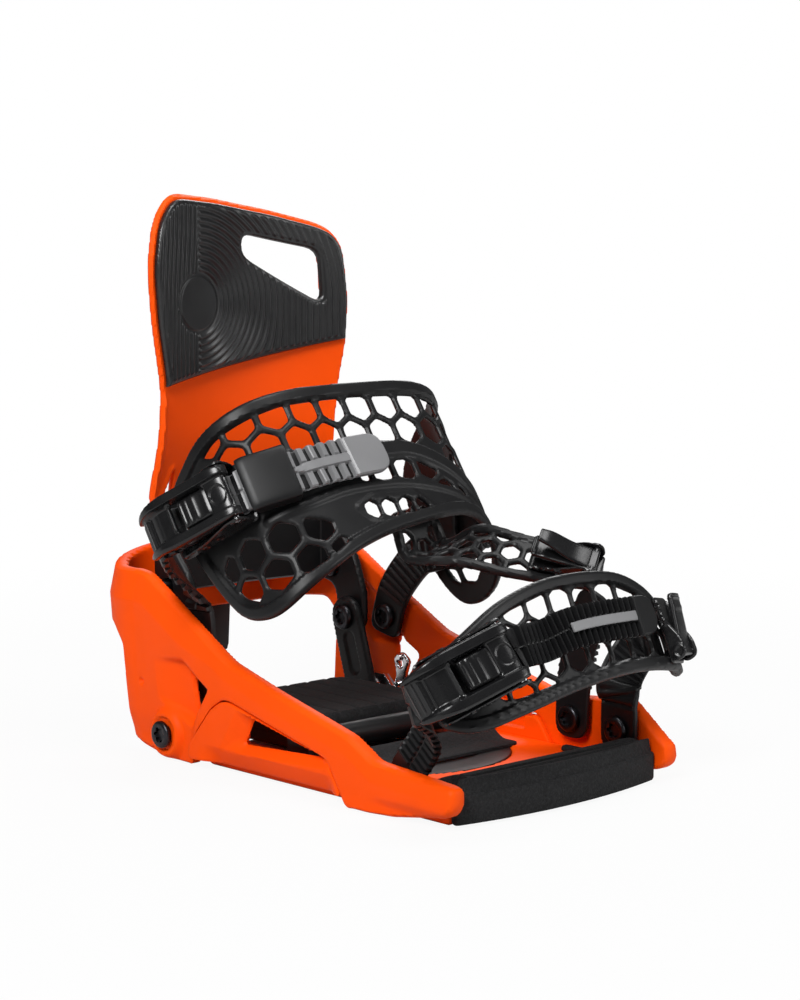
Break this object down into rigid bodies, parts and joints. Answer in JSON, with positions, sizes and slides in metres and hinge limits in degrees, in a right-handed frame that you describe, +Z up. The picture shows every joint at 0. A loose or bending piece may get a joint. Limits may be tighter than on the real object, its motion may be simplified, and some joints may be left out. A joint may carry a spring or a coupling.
{
  "type": "snowboard binding",
  "caption": "Step-in binding with a reclining heel-linked highback, a hooped base on a turning disc, and ratchet straps over the ankle and toe.",
  "frame": {"origin": "centre of the turning disc on its bottom face, where the part lies on the board", "axes": "+Z up from the board, +Y towards the heel, -X the side with the ratchet buckles"},
  "size_m": [0.1797, 0.2754, 0.2566],
  "materials": {
    "orange_plastic": "satin",
    "black_plastic": "satin",
    "grey_plastic": "satin",
    "black_foam": "matt foam",
    "bright_steel": "polished"
  },
  "bodies": {
    "base": {"hoop_frame": "orange_plastic", "base_plate": "orange_plastic", "toe_bumper": "black_foam", "footbed_pad": "black_foam", "hoop_screw_outer": "black_plastic", "hoop_screw_inner": "black_plastic", "ankle_anchor_bolt_outer": "bright_steel", "ankle_anchor_bolt_inner": "bright_steel", "toe_anchor_bolt_outer": "bright_steel", "toe_anchor_bolt_inner": "bright_steel", "front_anchor_bolt": "bright_steel", "highback_pivot_outer": "bright_steel", "highback_pivot_inner": "bright_steel", "pedal_axle": "bright_steel", "latch_pin": "bright_steel", "latch_spring": "bright_steel", "release_pin": "bright_steel", "front_ladder": "grey_plastic"},
    "disc": {"mounting_disc": "black_plastic", "disc_screw_1": "bright_steel", "disc_screw_2": "bright_steel", "disc_screw_3": "bright_steel", "disc_screw_4": "bright_steel"},
    "highback": {"highback_shell": "orange_plastic", "highback_pad": "black_foam", "highback_cradle": "black_plastic", "link_bolt_outer": "bright_steel", "link_bolt_inner": "bright_steel"},
    "pedal": {"heel_pedal": "black_plastic", "pedal_pad": "black_foam", "link_pin_outer": "bright_steel", "link_pin_inner": "bright_steel"},
    "link_outer": {"link_arm_outer": "black_plastic"},
    "link_inner": {"link_arm_inner": "black_plastic"},
    "latch": {"latch_hook": "bright_steel"},
    "release": {"release_lever": "black_plastic"},
    "ankle": {"ankle_strap": "black_plastic", "ankle_front_arm": "black_plastic", "ankle_ladder": "grey_plastic", "ankle_keeper": "black_plastic", "ankle_buckle_base": "black_plastic", "ankle_buckle_pin": "bright_steel", "ankle_anchor_strap": "black_plastic", "ankle_adjuster_base": "black_plastic", "front_claw_base": "black_plastic"},
    "ankle_lever": {"ankle_buckle_lever": "black_plastic"},
    "ankle_trigger": {"ankle_buckle_trigger": "black_plastic"},
    "ankle_adjuster": {"ankle_adjuster_lever": "black_plastic"},
    "front_claw": {"front_claw_lever": "black_plastic"},
    "toe": {"toe_strap": "black_plastic", "toe_ladder": "grey_plastic", "toe_buckle_base": "black_plastic", "toe_buckle_pin": "bright_steel", "toe_anchor_strap": "black_plastic", "toe_adjuster_base": "black_plastic"},
    "toe_lever": {"toe_buckle_lever": "black_plastic"},
    "toe_trigger": {"toe_buckle_trigger": "black_plastic"},
    "toe_adjuster": {"toe_adjuster_lever": "black_plastic"}
  },
  "joints": [
    {"name": "disc_turn", "type": "hinge", "parent": "base", "child": "disc", "pos_m": [0, 0, 0], "axis": [0, 0, 1], "range_deg": [-45, 45]},
    {"name": "highback_recline", "type": "hinge", "parent": "base", "child": "highback", "pos_m": [0, 0.101, 0.076], "axis": [-1, 0, 0], "range_deg": [0, 22]},
    {"name": "pedal_lift", "type": "hinge", "parent": "base", "child": "pedal", "pos_m": [0, 0.004, 0.018], "axis": [1, 0, 0], "range_deg": [0, 5.2]},
    {"name": "link_outer_turn", "type": "hinge", "parent": "highback", "child": "link_outer", "pos_m": [-0.0462, 0.087, 0.053], "axis": [1, 0, 0], "range_deg": [0, 33.6]},
    {"name": "link_inner_turn", "type": "hinge", "parent": "highback", "child": "link_inner", "pos_m": [0.0462, 0.087, 0.053], "axis": [1, 0, 0], "range_deg": [0, 33.6]},
    {"name": "latch_turn", "type": "hinge", "parent": "base", "child": "latch", "pos_m": [0.0522, 0.057, 0.013], "axis": [1, 0, 0], "range_deg": [0, 24.6]},
    {"name": "release_pull", "type": "hinge", "parent": "base", "child": "release", "pos_m": [0, 0.145, 0.066], "axis": [1, 0, 0], "range_deg": [0, 28], "stiffness_Nm_per_rad": 0.2},
    {"name": "ankle_swing", "type": "hinge", "parent": "base", "child": "ankle", "pos_m": [0, 0.07, 0.054], "axis": [-1, 0, 0], "range_deg": [0, 12]},
    {"name": "toe_swing", "type": "hinge", "parent": "base", "child": "toe", "pos_m": [-0.0575, -0.064, 0.016], "axis": [0.9895, -0.1377, 0.043], "range_deg": [0, 8]},
    {"name": "ankle_lever_lift", "type": "hinge", "parent": "ankle", "child": "ankle_lever", "pos_m": [-0.07899, 0.0246, 0.1278], "axis": [0, 0.5519, 0.8339], "range_deg": [0, 55], "stiffness_Nm_per_rad": 0.03},
    {"name": "ankle_trigger_pull", "type": "hinge", "parent": "ankle", "child": "ankle_trigger", "pos_m": [-0.07899, 0.0246, 0.1278], "axis": [0, 0.5519, 0.8339], "range_deg": [0, 8], "stiffness_Nm_per_rad": 0.05},
    {"name": "ankle_adjuster_lift", "type": "hinge", "parent": "ankle", "child": "ankle_adjuster", "pos_m": [0.07648, 0.02635, 0.08947], "axis": [0.061, 0.8323, -0.5509], "range_deg": [0, 60]},
    {"name": "front_claw_lift", "type": "hinge", "parent": "ankle", "child": "front_claw", "pos_m": [0.04849, -0.0723, 0.096], "axis": [0.6981, 0.3455, 0.6271], "range_deg": [0, 60]},
    {"name": "toe_lever_lift", "type": "hinge", "parent": "toe", "child": "toe_lever", "pos_m": [-0.04738, -0.11395, 0.07231], "axis": [-0.2039, 0.4817, 0.8523], "range_deg": [0, 55], "stiffness_Nm_per_rad": 0.03},
    {"name": "toe_trigger_pull", "type": "hinge", "parent": "toe", "child": "toe_trigger", "pos_m": [-0.04738, -0.11395, 0.07231], "axis": [-0.2039, 0.4817, 0.8523], "range_deg": [0, 8], "stiffness_Nm_per_rad": 0.05},
    {"name": "toe_adjuster_lift", "type": "hinge", "parent": "toe", "child": "toe_adjuster", "pos_m": [0.0699, -0.10689, 0.05783], "axis": [0.9149, 0.3691, -0.1636], "range_deg": [0, 60]}
  ],
  "couplings": [
    {"joint": "pedal_lift", "follows": "highback_recline", "ratio": 0.23},
    {"joint": "link_outer_turn", "follows": "highback_recline", "ratio": 1.51},
    {"joint": "link_inner_turn", "follows": "highback_recline", "ratio": 1.51},
    {"joint": "latch_turn", "follows": "highback_recline", "ratio": 1.1}
  ]
}
